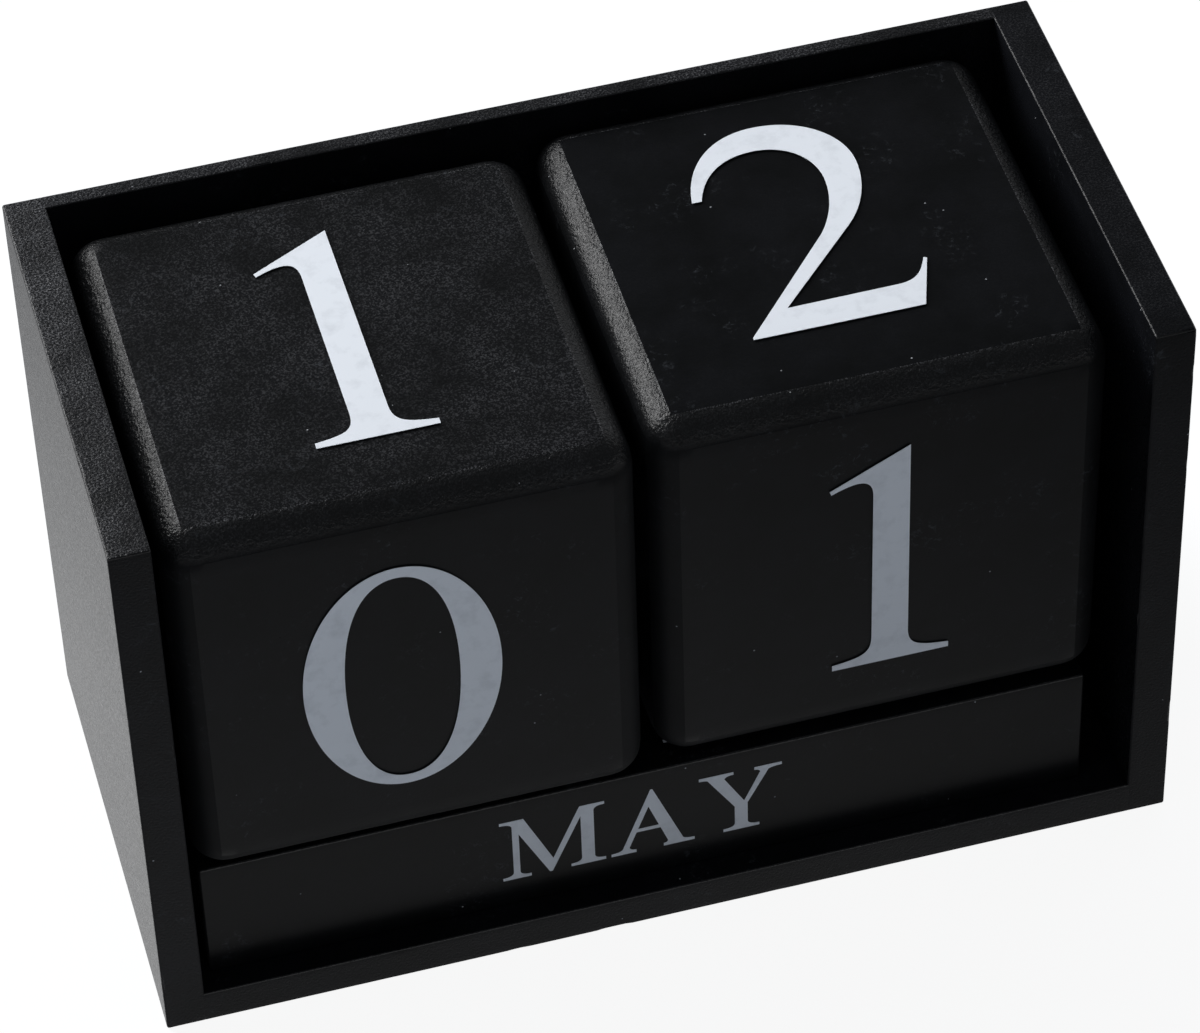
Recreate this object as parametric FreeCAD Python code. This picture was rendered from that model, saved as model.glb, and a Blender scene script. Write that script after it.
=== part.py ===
"""Perpetual desk calendar: an open tray of four painted boards that holds two number cubes,
which stand on a row of three month bars. Every cube face and bar face has its white print.

Millimetres. +Z is up, +X is to the reader's right and -Y is the open front. The origin is the
centre of the tray's underside.
"""
import FreeCAD, Part
import os

from FreeCAD import Vector

# Number cubes
cube_size = 50.0
cube_edge_round = 4.0
cube_face_sanding = 0.14
left_cube_wall_gap = 1.0
cube_gap = 1.8
right_cube_wall_gap = 3.2
left_cube_back_gap = 1.8
right_cube_back_gap = 0.25

# Month bars: three of them make up one cube's depth, and each is as long as the two cubes
bar_count = 3
bar_size = cube_size / bar_count
bar_length = 2 * cube_size
bar_edge_round = 0.35
bar_back_gap = 0.2
bar_wall_gap = 1.2
bar_front_recess = 2.8

# Ink stands proud of each face, and what lies against it clears it
ink_film = 0.05
ink_clearance = 0.04

# Tray boards
side_thickness = 4.5
floor_thickness = 4.4
back_thickness = 2.0
rim_above_cubes = 2.2
board_edge_round = 0.25

# Print heights and the places of the prints that stand off the middle of their face
digit_height = 32.0
letter_height = 9.5
front_zero_shift = (-1.2, -0.4)
top_one_shift = (-0.1, 0.9)
top_two_shift = (-0.6, 1.8)
front_one_shift = (0.7, 0.3)
month_shift = (-0.8, 0.6)

# The stack on the floor, and the tray worked out from what it holds
printed_gap = 2 * ink_film + ink_clearance
bar_bottom = floor_thickness + ink_film + ink_clearance
cube_bottom = bar_bottom + bar_size + printed_gap
tray_height = cube_bottom + cube_size + rim_above_cubes
inner_width = left_cube_wall_gap + cube_size + cube_gap + cube_size + right_cube_wall_gap
tray_width = inner_width + 2 * side_thickness
bar_row_depth = bar_count * bar_size + (bar_count - 1) * printed_gap
inner_depth = bar_front_recess + bar_row_depth + bar_back_gap
tray_depth = inner_depth + back_thickness
tray_front = -tray_depth / 2
back_inner = tray_front + inner_depth
wall_inner = inner_width / 2

# Letter parts, as shares of the letter height
thick_share = 0.155
thin_share = 0.078
slab_share = 0.042
reach_share = 0.13
bracket_share = 0.075
letter_gap_share = 0.065

# Outlines as shares of the print's height. The first entry of an outline is where it starts.
# After that, two numbers end a line, four are a curve's one control point and its end, and six
# are a curve's two control points and its end.
DIGIT_SHARES = {
    "0": ([[(0.334, 1.010), (0.150, 1.010, 0.0, 0.782, 0.0, 0.500),
            (0.0, 0.218, 0.150, -0.010, 0.334, -0.010),
            (0.518, -0.010, 0.668, 0.218, 0.668, 0.500),
            (0.668, 0.782, 0.518, 1.010, 0.334, 1.010)]],
          [[(0.334, 0.966), (0.200, 0.966, 0.141, 0.760, 0.141, 0.500),
            (0.141, 0.240, 0.200, 0.030, 0.334, 0.030),
            (0.468, 0.030, 0.527, 0.240, 0.527, 0.500),
            (0.527, 0.760, 0.468, 0.966, 0.334, 0.966)]]),
    "1": ([[(0.0, 0.0), (0.410, 0.0), (0.410, 0.024), (0.300, 0.036, 0.268, 0.050, 0.266, 0.125),
            (0.264, 1.0), (-0.012, 0.858), (-0.006, 0.842),
            (0.075, 0.880, 0.138, 0.890, 0.138, 0.800), (0.138, 0.125),
            (0.136, 0.050, 0.110, 0.036, 0.0, 0.024)]], []),
    "2": ([[(0.0, 0.0), (0.586, 0.0), (0.657, 0.212), (0.646, 0.218),
            (0.615, 0.140, 0.585, 0.119, 0.530, 0.117), (0.147, 0.113), (0.458, 0.440),
            (0.528, 0.515, 0.574, 0.620, 0.576, 0.741),
            (0.576, 0.885, 0.455, 1.0, 0.291, 1.0), (0.120, 1.0, 0.015, 0.860, -0.010, 0.693),
            (0.024, 0.693), (0.060, 0.810, 0.140, 0.885, 0.257, 0.885),
            (0.370, 0.885, 0.448, 0.800, 0.448, 0.687),
            (0.448, 0.600, 0.415, 0.500, 0.358, 0.424), (0.0, 0.010)]], []),
    "3": ([[(0.020, 0.800), (0.045, 0.785), (0.080, 0.870, 0.140, 0.925, 0.220, 0.925),
            (0.310, 0.925, 0.360, 0.870, 0.360, 0.765), (0.360, 0.650, 0.290, 0.555, 0.165, 0.515),
            (0.170, 0.490), (0.330, 0.490, 0.430, 0.410, 0.430, 0.265),
            (0.430, 0.120, 0.350, 0.035, 0.230, 0.035), (0.140, 0.035, 0.110, 0.135, 0.055, 0.135),
            (0.020, 0.135, 0.0, 0.115, 0.0, 0.085), (0.0, 0.020, 0.120, -0.010, 0.230, -0.010),
            (0.420, -0.010, 0.560, 0.110, 0.560, 0.290), (0.560, 0.430, 0.470, 0.530, 0.330, 0.565),
            (0.420, 0.610, 0.490, 0.690, 0.490, 0.800), (0.490, 0.920, 0.400, 1.0, 0.270, 1.0),
            (0.140, 1.0, 0.060, 0.920, 0.020, 0.800)]], []),
    "4": ([[(0.0, 0.225), (0.395, 0.225), (0.395, 0.0), (0.515, 0.0), (0.515, 0.225),
            (0.640, 0.225), (0.640, 0.305), (0.515, 0.305), (0.515, 1.0), (0.460, 1.0),
            (0.0, 0.285)]],
          [[(0.072, 0.305), (0.395, 0.305), (0.395, 0.805)]]),
    "5": ([[(0.155, 0.985), (0.065, 0.550), (0.300, 0.535, 0.435, 0.440, 0.435, 0.275),
            (0.435, 0.130, 0.360, 0.035, 0.230, 0.035), (0.140, 0.035, 0.110, 0.135, 0.055, 0.135),
            (0.020, 0.135, 0.0, 0.115, 0.0, 0.085), (0.0, 0.020, 0.110, -0.010, 0.220, -0.010),
            (0.420, -0.010, 0.560, 0.110, 0.560, 0.310), (0.560, 0.520, 0.400, 0.640, 0.135, 0.668),
            (0.175, 0.875), (0.490, 0.875), (0.545, 1.020), (0.530, 1.028),
            (0.515, 0.995, 0.500, 0.985, 0.470, 0.985)]], []),
    "6": ([[(0.535, 0.975), (0.530, 1.0), (0.250, 0.970, 0.0, 0.740, 0.0, 0.390),
            (0.0, 0.150, 0.110, -0.010, 0.290, -0.010), (0.460, -0.010, 0.580, 0.120, 0.580, 0.315),
            (0.580, 0.500, 0.470, 0.620, 0.310, 0.620), (0.235, 0.620, 0.180, 0.600, 0.135, 0.565),
            (0.165, 0.780, 0.320, 0.940, 0.535, 0.975)]],
          [[(0.288, 0.565), (0.225, 0.565, 0.170, 0.540, 0.130, 0.500), (0.130, 0.350),
            (0.130, 0.170, 0.190, 0.030, 0.300, 0.030), (0.390, 0.030, 0.450, 0.130, 0.450, 0.290),
            (0.450, 0.450, 0.390, 0.565, 0.288, 0.565)]]),
    "7": ([[(0.0, 0.800), (0.020, 0.790), (0.045, 0.860, 0.090, 0.880, 0.160, 0.880),
            (0.455, 0.880), (0.160, 0.0), (0.275, 0.0), (0.580, 0.950), (0.580, 0.990),
            (0.045, 0.990)]], []),
    "8": ([[(0.300, 1.010), (0.155, 1.010, 0.055, 0.910, 0.055, 0.750),
            (0.055, 0.640, 0.100, 0.560, 0.185, 0.495), (0.070, 0.440, 0.0, 0.355, 0.0, 0.240),
            (0.0, 0.090, 0.120, -0.010, 0.290, -0.010), (0.460, -0.010, 0.580, 0.090, 0.580, 0.255),
            (0.580, 0.380, 0.510, 0.480, 0.385, 0.545), (0.470, 0.600, 0.525, 0.680, 0.525, 0.785),
            (0.525, 0.920, 0.440, 1.010, 0.300, 1.010)]],
          [[(0.300, 0.965), (0.380, 0.965, 0.425, 0.900, 0.425, 0.790),
            (0.425, 0.710, 0.400, 0.640, 0.345, 0.570), (0.240, 0.620, 0.155, 0.690, 0.155, 0.800),
            (0.155, 0.905, 0.215, 0.965, 0.300, 0.965)],
           [(0.225, 0.470), (0.360, 0.390, 0.465, 0.330, 0.465, 0.210),
            (0.465, 0.100, 0.400, 0.035, 0.300, 0.035), (0.190, 0.035, 0.115, 0.120, 0.115, 0.245),
            (0.115, 0.340, 0.155, 0.420, 0.225, 0.470)]]),
}


def flipped(outline):
    """The outline turned upside down within the letter height, as shares."""
    return [tuple(n if i % 2 == 0 else 1 - n for i, n in enumerate(leg)) for leg in outline]


def mirrored(outline, middle):
    """The outline turned left for right about an upright line, as shares."""
    return [tuple(2 * middle - n if i % 2 == 0 else n for i, n in enumerate(leg))
            for leg in outline]


def serif(left, right, stroke_left, stroke_right):
    """A foot slab with a curved bracket up to the stroke on each side that it reaches past."""
    bracket_top = slab_share + bracket_share
    outline = [(left, 0), (right, 0)]
    if right > stroke_right:
        outline.append((right, slab_share))
        outline.append((stroke_right, slab_share, stroke_right, bracket_top))
    else:
        outline.append((stroke_right, bracket_top))
    outline.append((stroke_left, bracket_top))
    if left < stroke_left:
        outline.append((stroke_left, slab_share, left, slab_share))
    return outline


def stem(left, width, low=0.0, high=1.0):
    """A plain upright stroke, as shares."""
    return [(left, low), (left + width, low), (left + width, high), (left, high)]


def post(left, width, foot=(reach_share, reach_share), head=(reach_share, reach_share)):
    """An upright stroke over the full height with its foot and head slabs, as shares."""
    right = left + width
    pieces = [stem(left, width)]
    if foot:
        pieces.append(serif(left - foot[0], right + foot[1], left, right))
    if head:
        pieces.append(flipped(serif(left - head[0], right + head[1], left, right)))
    return pieces


def foot_arm(left, right, rise):
    """A thin arm along the foot that ends in a raised point, as shares."""
    return [(left, 0), (right, 0), (right + slab_share, rise), (right, rise),
            (right - slab_share, slab_share, right - reach_share, slab_share),
            (left, slab_share)]


def middle_arm(left, right, level):
    """A thin arm at mid height with a small cross slab at its end, as shares."""
    half = slab_share / 2
    return [(left, level - half), (right - slab_share, level - half),
            (right, level - half, right, level - reach_share),
            (right + slab_share, level - reach_share), (right + slab_share, level + reach_share),
            (right, level + reach_share), (right, level + half, right - slab_share, level + half),
            (left, level + half)]


def bowl(left, straight, right, low, high):
    """A thin-thick-thin bowl that springs from a stem, as shares."""
    middle = (low + high) / 2
    outer_low = (middle + low) / 2
    outer_high = (middle + high) / 2
    bulge = (straight + right) / 2
    inner = right - thick_share
    inner_bulge = (straight + inner) / 2
    return [(left, low), (straight, low), (bulge, low, right, outer_low, right, middle),
            (right, outer_high, bulge, high, straight, high), (left, high),
            (left, high - slab_share), (straight, high - slab_share),
            (inner_bulge, high - slab_share, inner, outer_high, inner, middle),
            (inner, outer_low, inner_bulge, low + slab_share, straight, low + slab_share),
            (left, low + slab_share)]


OPEN_ROUND_SHARES = [
    (0.790, 0.965), (0.720, 1.0, 0.640, 1.015, 0.550, 1.015), (0.230, 1.015, 0.0, 0.800, 0.0, 0.490),
    (0.0, 0.190, 0.220, -0.015, 0.540, -0.015)]
OPEN_COUNTER_SHARES = [
    (0.340, 0.055, 0.165, 0.240, 0.165, 0.510), (0.165, 0.790, 0.320, 0.945, 0.550, 0.945),
    (0.730, 0.945, 0.830, 0.860, 0.875, 0.680), (0.900, 0.680), (0.890, 0.985), (0.865, 0.985),
    (0.850, 0.940, 0.830, 0.945, 0.790, 0.965)]

# Each letter is the outlines that are joined, then the outlines that are cut out of them
LETTER_SHARES = {
    "A": ([[(0.115, 0.020), (0.190, 0.020), (0.530, 0.930), (0.485, 1.015)],
           [(0.485, 1.015), (0.510, 1.015), (0.885, 0.020), (0.705, 0.020), (0.430, 0.815)],
           stem(0.260, 0.420, 0.335, 0.385), serif(0.0, 0.300, 0.150, 0.215),
           serif(0.630, 1.0, 0.690, 0.845)], []),
    "B": (post(reach_share, thick_share, (reach_share, 0), (reach_share, 0))
          + [bowl(0.200, 0.450, 0.780, 0.500, 1.0), bowl(0.200, 0.460, 0.860, 0.0, 0.542)], []),
    "C": ([OPEN_ROUND_SHARES + [(0.700, -0.015, 0.820, 0.040, 0.920, 0.150), (0.900, 0.175),
                                (0.820, 0.090, 0.720, 0.055, 0.600, 0.055)]
           + OPEN_COUNTER_SHARES], []),
    "D": (post(reach_share, thick_share, (reach_share, 0), (reach_share, 0))
          + [bowl(0.200, 0.430, 1.030, 0.0, 1.0)], []),
    "E": (post(reach_share, thick_share, (reach_share, 0), (reach_share, 0))
          + [foot_arm(0.200, 0.830, 0.270), flipped(foot_arm(0.200, 0.780, 0.240)),
             middle_arm(0.200, 0.590, 0.515)], []),
    "F": (post(reach_share, thick_share, head=(reach_share, 0))
          + [flipped(foot_arm(0.200, 0.770, 0.250)), middle_arm(0.200, 0.590, 0.500)], []),
    "G": ([OPEN_ROUND_SHARES + [(0.700, -0.015, 0.840, 0.020, 0.950, 0.080), (0.950, 0.330),
                                (0.950, 0.380, 0.970, 0.400, 1.030, 0.415), (1.030, 0.440),
                                (0.680, 0.440), (0.680, 0.415), (0.770, 0.400, 0.795, 0.380, 0.795, 0.330),
                                (0.795, 0.115), (0.740, 0.070, 0.670, 0.055, 0.600, 0.055)]
           + OPEN_COUNTER_SHARES], []),
    "J": ([[(0.220, 1.0), (0.220, 0.160), (0.220, 0.080, 0.210, 0.045, 0.185, 0.045),
            (0.160, 0.045, 0.150, 0.070, 0.150, 0.095), (0.150, 0.140, 0.120, 0.170, 0.075, 0.170),
            (0.030, 0.170, 0.0, 0.140, 0.0, 0.090), (0.0, 0.030, 0.050, -0.015, 0.140, -0.015),
            (0.280, -0.015, 0.375, 0.060, 0.375, 0.250), (0.375, 1.0)],
           flipped(serif(0.090, 0.505, 0.220, 0.375))], []),
    "L": (post(reach_share, thick_share, (reach_share, 0))
          + [foot_arm(0.200, 0.800, 0.290)], []),
    "M": (post(0.145, thin_share, head=None) + post(0.960, thick_share, head=(0, reach_share))
          + [[(0.110, 1.0), (0.285, 1.0), (0.620, 0.215), (0.950, 1.0), (1.030, 1.0),
              (0.605, 0.0), (0.572, 0.0)],
             flipped(serif(0.0, 0.223, 0.145, 0.223))], []),
    "N": (post(0.145, thin_share, head=None) + post(0.870, thin_share, foot=None)
          + [[(0.080, 1.0), (0.290, 1.0), (0.948, 0.150), (0.948, -0.015), (0.900, -0.015),
              (0.145, 0.930)],
             flipped(serif(0.0, 0.223, 0.145, 0.223))], []),
    "O": ([[(0.530, 1.015), (0.240, 1.015, 0.0, 0.790, 0.0, 0.500),
            (0.0, 0.210, 0.240, -0.015, 0.530, -0.015), (0.820, -0.015, 1.060, 0.210, 1.060, 0.500),
            (1.060, 0.790, 0.820, 1.015, 0.530, 1.015)]],
          [[(0.530, 0.960), (0.300, 0.960, 0.160, 0.760, 0.160, 0.500),
            (0.160, 0.240, 0.300, 0.040, 0.530, 0.040), (0.760, 0.040, 0.900, 0.240, 0.900, 0.500),
            (0.900, 0.760, 0.760, 0.960, 0.530, 0.960)]]),
    "P": (post(reach_share, thick_share, head=(reach_share, 0))
          + [bowl(0.200, 0.460, 0.830, 0.440, 1.0)], []),
    "R": (post(reach_share, thick_share, head=(reach_share, 0))
          + [bowl(0.200, 0.450, 0.800, 0.470, 1.0),
             [(0.390, 0.500), (0.560, 0.500), (0.960, 0.020), (0.770, 0.020)],
             serif(0.760, 1.060, 0.765, 0.870)], []),
    "S": ([[(0.600, 0.720), (0.590, 0.985), (0.565, 0.985), (0.550, 0.955, 0.535, 0.950, 0.505, 0.965),
            (0.450, 0.995, 0.390, 1.015, 0.320, 1.015), (0.150, 1.015, 0.040, 0.910, 0.040, 0.760),
            (0.040, 0.600, 0.160, 0.530, 0.300, 0.460), (0.420, 0.400, 0.510, 0.350, 0.510, 0.235),
            (0.510, 0.120, 0.430, 0.045, 0.310, 0.045), (0.170, 0.045, 0.080, 0.130, 0.045, 0.290),
            (0.015, 0.290), (0.030, 0.005), (0.055, 0.005), (0.065, 0.030, 0.085, 0.040, 0.115, 0.030),
            (0.180, 0.0, 0.250, -0.015, 0.320, -0.015), (0.510, -0.015, 0.640, 0.090, 0.640, 0.265),
            (0.640, 0.430, 0.510, 0.500, 0.370, 0.575), (0.250, 0.635, 0.165, 0.690, 0.165, 0.790),
            (0.165, 0.880, 0.230, 0.950, 0.330, 0.950), (0.460, 0.950, 0.540, 0.870, 0.575, 0.720)]],
          []),
    "T": (post(0.390, thick_share, head=None)
          + [flipped(foot_arm(0.450, 0.890, 0.260)),
             mirrored(flipped(foot_arm(0.450, 0.890, 0.260)), 0.390 + thick_share / 2)], []),
    "U": ([stem(0.130, thick_share, 0.340, 1.0), stem(0.800, thin_share, 0.340, 1.0),
           [(0.130, 0.345), (0.130, 0.100, 0.270, -0.015, 0.500, -0.015),
            (0.740, -0.015, 0.878, 0.100, 0.878, 0.345), (0.800, 0.345),
            (0.800, 0.150, 0.710, 0.055, 0.550, 0.055), (0.370, 0.055, 0.285, 0.150, 0.285, 0.345)],
           flipped(serif(0.0, 0.415, 0.130, 0.285)), flipped(serif(0.670, 1.008, 0.800, 0.878))], []),
    "V": ([[(0.085, 0.980), (0.265, 0.980), (0.560, 0.225), (0.795, 0.980), (0.875, 0.980),
            (0.525, -0.015), (0.480, -0.015)],
           flipped(serif(0.0, 0.360, 0.130, 0.285)), flipped(serif(0.660, 1.0, 0.768, 0.835))], []),
    "Y": ([[(0.080, 0.980), (0.265, 0.980), (0.540, 0.470), (0.765, 0.980), (0.860, 0.980),
            (0.580, 0.430), (0.580, 0.100), (0.425, 0.100), (0.425, 0.400)],
           serif(0.285, 0.720, 0.425, 0.580), flipped(serif(0.0, 0.415, 0.140, 0.300)),
           flipped(serif(0.665, 0.995, 0.740, 0.808))], []),
}

MARK_SHARES = {**DIGIT_SHARES, **LETTER_SHARES}


def outline_edges(outline, height):
    """The edges of one outline, from shares of the print's height to real size."""
    points = [Vector(leg[i] * height, leg[i + 1] * height, 0)
              for leg in outline for i in range(0, len(leg), 2)]
    edges = []
    start = 0
    for leg in outline[1:]:
        end = start + len(leg) // 2
        if end - start == 1:
            edges.append(Part.makeLine(points[start], points[end]))
        else:
            curve = Part.BezierCurve()
            curve.setPoles(points[start:end + 1])
            edges.append(curve.toShape())
        start = end
    if outline[-1][-2:] != outline[0]:
        edges.append(Part.makeLine(points[-1], points[0]))
    return edges


def outline_film(outline, height):
    """The film of ink inside one closed outline, standing on the XY plane."""
    face = Part.Face(Part.Wire(outline_edges(outline, height)))
    return face.extrude(Vector(0, 0, ink_film))


def mark_film(mark, height):
    """The film of one digit or letter, with its left edge at x = 0."""
    joined, holes = MARK_SHARES[mark]
    films = [outline_film(outline, height) for outline in joined]
    film = films[0].multiFuse(films[1:]).removeSplitter() if films[1:] else films[0]
    for outline in holes:
        film = film.cut(outline_film(outline, height))
    film.translate(Vector(-film.BoundBox.XMin, 0, 0))
    return film.Solids[0]


def print_film(text, height):
    """A printed word or digit as a thin film on the XY plane, centred on the origin."""
    letters = []
    left = 0
    for mark in text:
        letter = mark_film(mark, height)
        letter.translate(Vector(left, 0, 0))
        left = letter.BoundBox.XMax + letter_gap_share * height
        letters.append(letter)
    film = Part.makeCompound(letters) if letters[1:] else letters[0]
    film.translate(Vector(-film.BoundBox.Center.x, -film.BoundBox.Center.y, 0))
    return film


# The reading direction and the up direction of a print on each face. The four faces round the
# X axis are upright in turn as a cube or a bar is rolled over towards the front. A cube's left
# and right digits lie on their side, and are upright on top as the cube is rolled sideways.
RIGHT = Vector(1, 0, 0)
BACK, FRONT = Vector(0, 1, 0), Vector(0, -1, 0)
UP, DOWN = Vector(0, 0, 1), Vector(0, 0, -1)
FACE_WAYS = {
    "front": (RIGHT, UP),
    "top": (RIGHT, BACK),
    "back": (RIGHT, DOWN),
    "bottom": (RIGHT, FRONT),
    "left": (UP, BACK),
    "right": (DOWN, BACK),
}


def print_on(body, side, text, height, shift=(0, 0)):
    """A print on one face of a body, off the middle of the face by the shift."""
    across, up = FACE_WAYS[side]
    out = across.cross(up)
    box = body.BoundBox
    half = Vector(box.XLength / 2, box.YLength / 2, box.ZLength / 2)
    reach = abs(half.dot(Vector(abs(out.x), abs(out.y), abs(out.z))))
    centre = box.Center + out * reach + across * shift[0] + up * shift[1]
    film = print_film(text, height)
    film.Placement = FreeCAD.Placement(FreeCAD.Matrix(
        across.x, up.x, out.x, centre.x,
        across.y, up.y, out.y, centre.y,
        across.z, up.z, out.z, centre.z)).multiply(film.Placement)
    return film


def side_panel(left):
    """A side board, full height and full depth, with every edge eased."""
    panel = Part.makeBox(side_thickness, tray_depth, tray_height, Vector(left, tray_front, 0))
    return panel.makeFillet(board_edge_round, panel.Edges)


def back_panel():
    """The thin back board between the side boards, with its top edges eased."""
    panel = Part.makeBox(inner_width, back_thickness, tray_height,
                         Vector(-wall_inner, back_inner, 0))
    top = [e for e in panel.Edges
           if e.BoundBox.XLength > wall_inner and e.BoundBox.ZMin > tray_height / 2]
    return panel.makeFillet(board_edge_round, top)


def floor_panel():
    """The floor board between the side boards and in front of the back board."""
    panel = Part.makeBox(inner_width, inner_depth, floor_thickness,
                         Vector(-wall_inner, tray_front, 0))
    front = [e for e in panel.Edges
             if e.BoundBox.XLength > wall_inner and e.BoundBox.YMax < 0]
    return panel.makeFillet(board_edge_round, front)


def number_cube(left, back):
    """A cube with every edge rounded over and then every face sanded flat."""
    blank_size = cube_size + 2 * cube_face_sanding
    blank = Part.makeBox(blank_size, blank_size, blank_size,
                         Vector(-cube_face_sanding, -cube_face_sanding, -cube_face_sanding))
    rounded = blank.makeFillet(cube_edge_round, blank.Edges)
    cube = rounded.common(Part.makeBox(cube_size, cube_size, cube_size))
    cube.translate(Vector(left, back - cube_size, cube_bottom))
    return cube


def month_bar(places_from_back):
    """A square bar with its edges eased, counted from the back of the row."""
    back = back_inner - bar_back_gap - places_from_back * (bar_size + printed_gap)
    bar = Part.makeBox(bar_length, bar_size, bar_size,
                       Vector(-wall_inner + bar_wall_gap, back - bar_size, bar_bottom))
    return bar.makeFillet(bar_edge_round, bar.Edges)


def cube_prints(cube, node, prints):
    """One digit on each of the cube's six faces, under its node name."""
    return {f"{node}_digit_{text}": print_on(cube, side, text, digit_height, shift)
            for side, text, shift in prints}


def bar_prints(bar, prints):
    """One month on each of the bar's four long faces, under its node name."""
    return {f"month_{text.lower()}": print_on(bar, side, text, letter_height, shift)
            for side, text, shift in prints}


def build_parts():
    """Every piece of the calendar, under its node name."""
    left_edge = -wall_inner + left_cube_wall_gap
    left_cube = number_cube(left_edge, back_inner - left_cube_back_gap)
    right_cube = number_cube(left_edge + cube_size + cube_gap, back_inner - right_cube_back_gap)
    rear_bar, middle_bar, front_bar = [month_bar(place) for place in range(bar_count)]
    centred = (0, 0)
    parts = {
        "left_side_panel": side_panel(-wall_inner - side_thickness),
        "right_side_panel": side_panel(wall_inner),
        "back_panel": back_panel(),
        "floor_panel": floor_panel(),
        "left_cube": left_cube,
        "right_cube": right_cube,
        "front_month_bar": front_bar,
        "middle_month_bar": middle_bar,
        "rear_month_bar": rear_bar,
    }
    parts.update(cube_prints(left_cube, "left_cube", [
        ("front", "0", front_zero_shift), ("top", "1", top_one_shift), ("back", "2", centred),
        ("bottom", "3", centred), ("left", "4", centred), ("right", "5", centred)]))
    parts.update(cube_prints(right_cube, "right_cube", [
        ("front", "1", front_one_shift), ("top", "2", top_two_shift), ("back", "0", centred),
        ("bottom", "6", centred), ("left", "7", centred), ("right", "8", centred)]))
    parts.update(bar_prints(front_bar, [
        ("front", "MAY", month_shift), ("top", "JUN", centred), ("back", "JUL", centred),
        ("bottom", "AUG", centred)]))
    parts.update(bar_prints(middle_bar, [
        ("front", "JAN", centred), ("top", "FEB", centred), ("back", "MAR", centred),
        ("bottom", "APR", centred)]))
    parts.update(bar_prints(rear_bar, [
        ("front", "SEP", centred), ("top", "OCT", centred), ("back", "NOV", centred),
        ("bottom", "DEC", centred)]))
    return parts


os.makedirs("parts", exist_ok=True)
for node, shape in build_parts().items():
    shape.exportStep(f"parts/{node}.step")
    print(f"{node}: {len(shape.Solids)} solid(s), {shape.Volume:.2f} mm3, valid {shape.isValid()}")
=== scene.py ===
"""Perpetual desk calendar in black satin paint: tray, number cubes and month bars.

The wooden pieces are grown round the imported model's boxes by one Geometry Nodes tree, which
rounds a block, sands its faces flat and leaves the small unevenness of hand sanding along the
edges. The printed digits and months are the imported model's own films, with an ink finish.
Lengths are in metres unless a name ends in mm.
"""
from __future__ import annotations

import logging
import math
from dataclasses import dataclass, field
from enum import Enum

import bpy
from mathutils import Matrix, Vector


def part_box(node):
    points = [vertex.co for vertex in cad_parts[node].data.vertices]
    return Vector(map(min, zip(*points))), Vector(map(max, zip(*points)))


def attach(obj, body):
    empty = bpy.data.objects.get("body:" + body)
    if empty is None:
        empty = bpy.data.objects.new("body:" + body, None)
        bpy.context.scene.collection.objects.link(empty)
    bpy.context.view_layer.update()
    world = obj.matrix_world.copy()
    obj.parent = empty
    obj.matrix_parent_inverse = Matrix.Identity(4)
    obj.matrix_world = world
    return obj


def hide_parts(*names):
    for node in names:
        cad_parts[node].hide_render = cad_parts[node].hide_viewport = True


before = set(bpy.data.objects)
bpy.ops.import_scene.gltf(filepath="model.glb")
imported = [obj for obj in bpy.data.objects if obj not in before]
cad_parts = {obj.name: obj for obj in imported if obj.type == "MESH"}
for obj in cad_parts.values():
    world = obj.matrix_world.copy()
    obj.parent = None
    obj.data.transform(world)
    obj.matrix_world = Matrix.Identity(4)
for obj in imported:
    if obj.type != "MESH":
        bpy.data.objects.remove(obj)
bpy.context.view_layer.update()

log = logging.getLogger("calendar")

MM = 0.001
PURE_WHITE = (1.0, 1.0, 1.0, 1.0)

# Each block draws its unevenness from its own slice of noise, this far from the last one's
SEED_STEP = 3.7

# A mix node's inputs for two numbers and for two colours, and its output for the mixed colour
NUMBER_A, NUMBER_B = 2, 3
COLOUR_A, COLOUR_B, COLOUR_OUT = 6, 7, 2

# The same number on X, Y and Z
ZEROS, ONES, TWOS = (0.0,) * 3, (1.0,) * 3, (2.0,) * 3

# What a block's mesh tells its paint: open grain, dry sawn edge, crease band, turned upwards
GRAIN = "grain"
DRY = "dry"
# The crease band is where the paint lays worn paint and a painted highlight line
WEAR_AND_HIGHLIGHT = "wear"
TOPSIDE = "topside"


def linear(hex_colour: str) -> tuple[float, float, float, float]:
    """Turns an sRGB hex colour to linear light.

    Args:
        hex_colour: Six hex digits, with or without a leading hash.

    Returns:
        Red, green, blue and an alpha of one.
    """
    digits = hex_colour.lstrip("#")
    parts = [int(digits[i:i + 2], 16) / 255 for i in (0, 2, 4)]
    red, green, blue = [c / 12.92 if c <= 0.04045 else ((c + 0.055) / 1.055) ** 2.4 for c in parts]
    return red, green, blue, 1.0


def per_mm(size_mm: float) -> float:
    """The noise scale whose features measure size_mm on Object coordinates in metres."""
    return 1 / (size_mm * MM)


class Nodes:
    """A node tree that is filled one node at a time."""

    def __init__(self, tree: bpy.types.NodeTree) -> None:
        """Starts on an emptied tree."""
        tree.nodes.clear()
        self.tree = tree

    def add(self, kind: str, inputs: dict | None = None, out: int | str | None = 0,
            **settings: object) -> bpy.types.NodeSocket | bpy.types.Node:
        """Adds a node with its settings and links.

        Args:
            kind: Blender's name for the kind of node.
            inputs: Input name or number to a value or to the socket that feeds it.
            out: The output to hand back, or None for the node itself.
            **settings: The node's own properties.

        Returns:
            The chosen output, or the node itself where out is None or it has no output.
        """
        node = self.tree.nodes.new(kind)
        for name, value in settings.items():
            setattr(node, name, value)
        for name, value in (inputs or {}).items():
            if isinstance(value, bpy.types.NodeSocket):
                self.tree.links.new(value, node.inputs[name])
            else:
                node.inputs[name].default_value = value
        return node if out is None or not len(node.outputs) else node.outputs[out]


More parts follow.
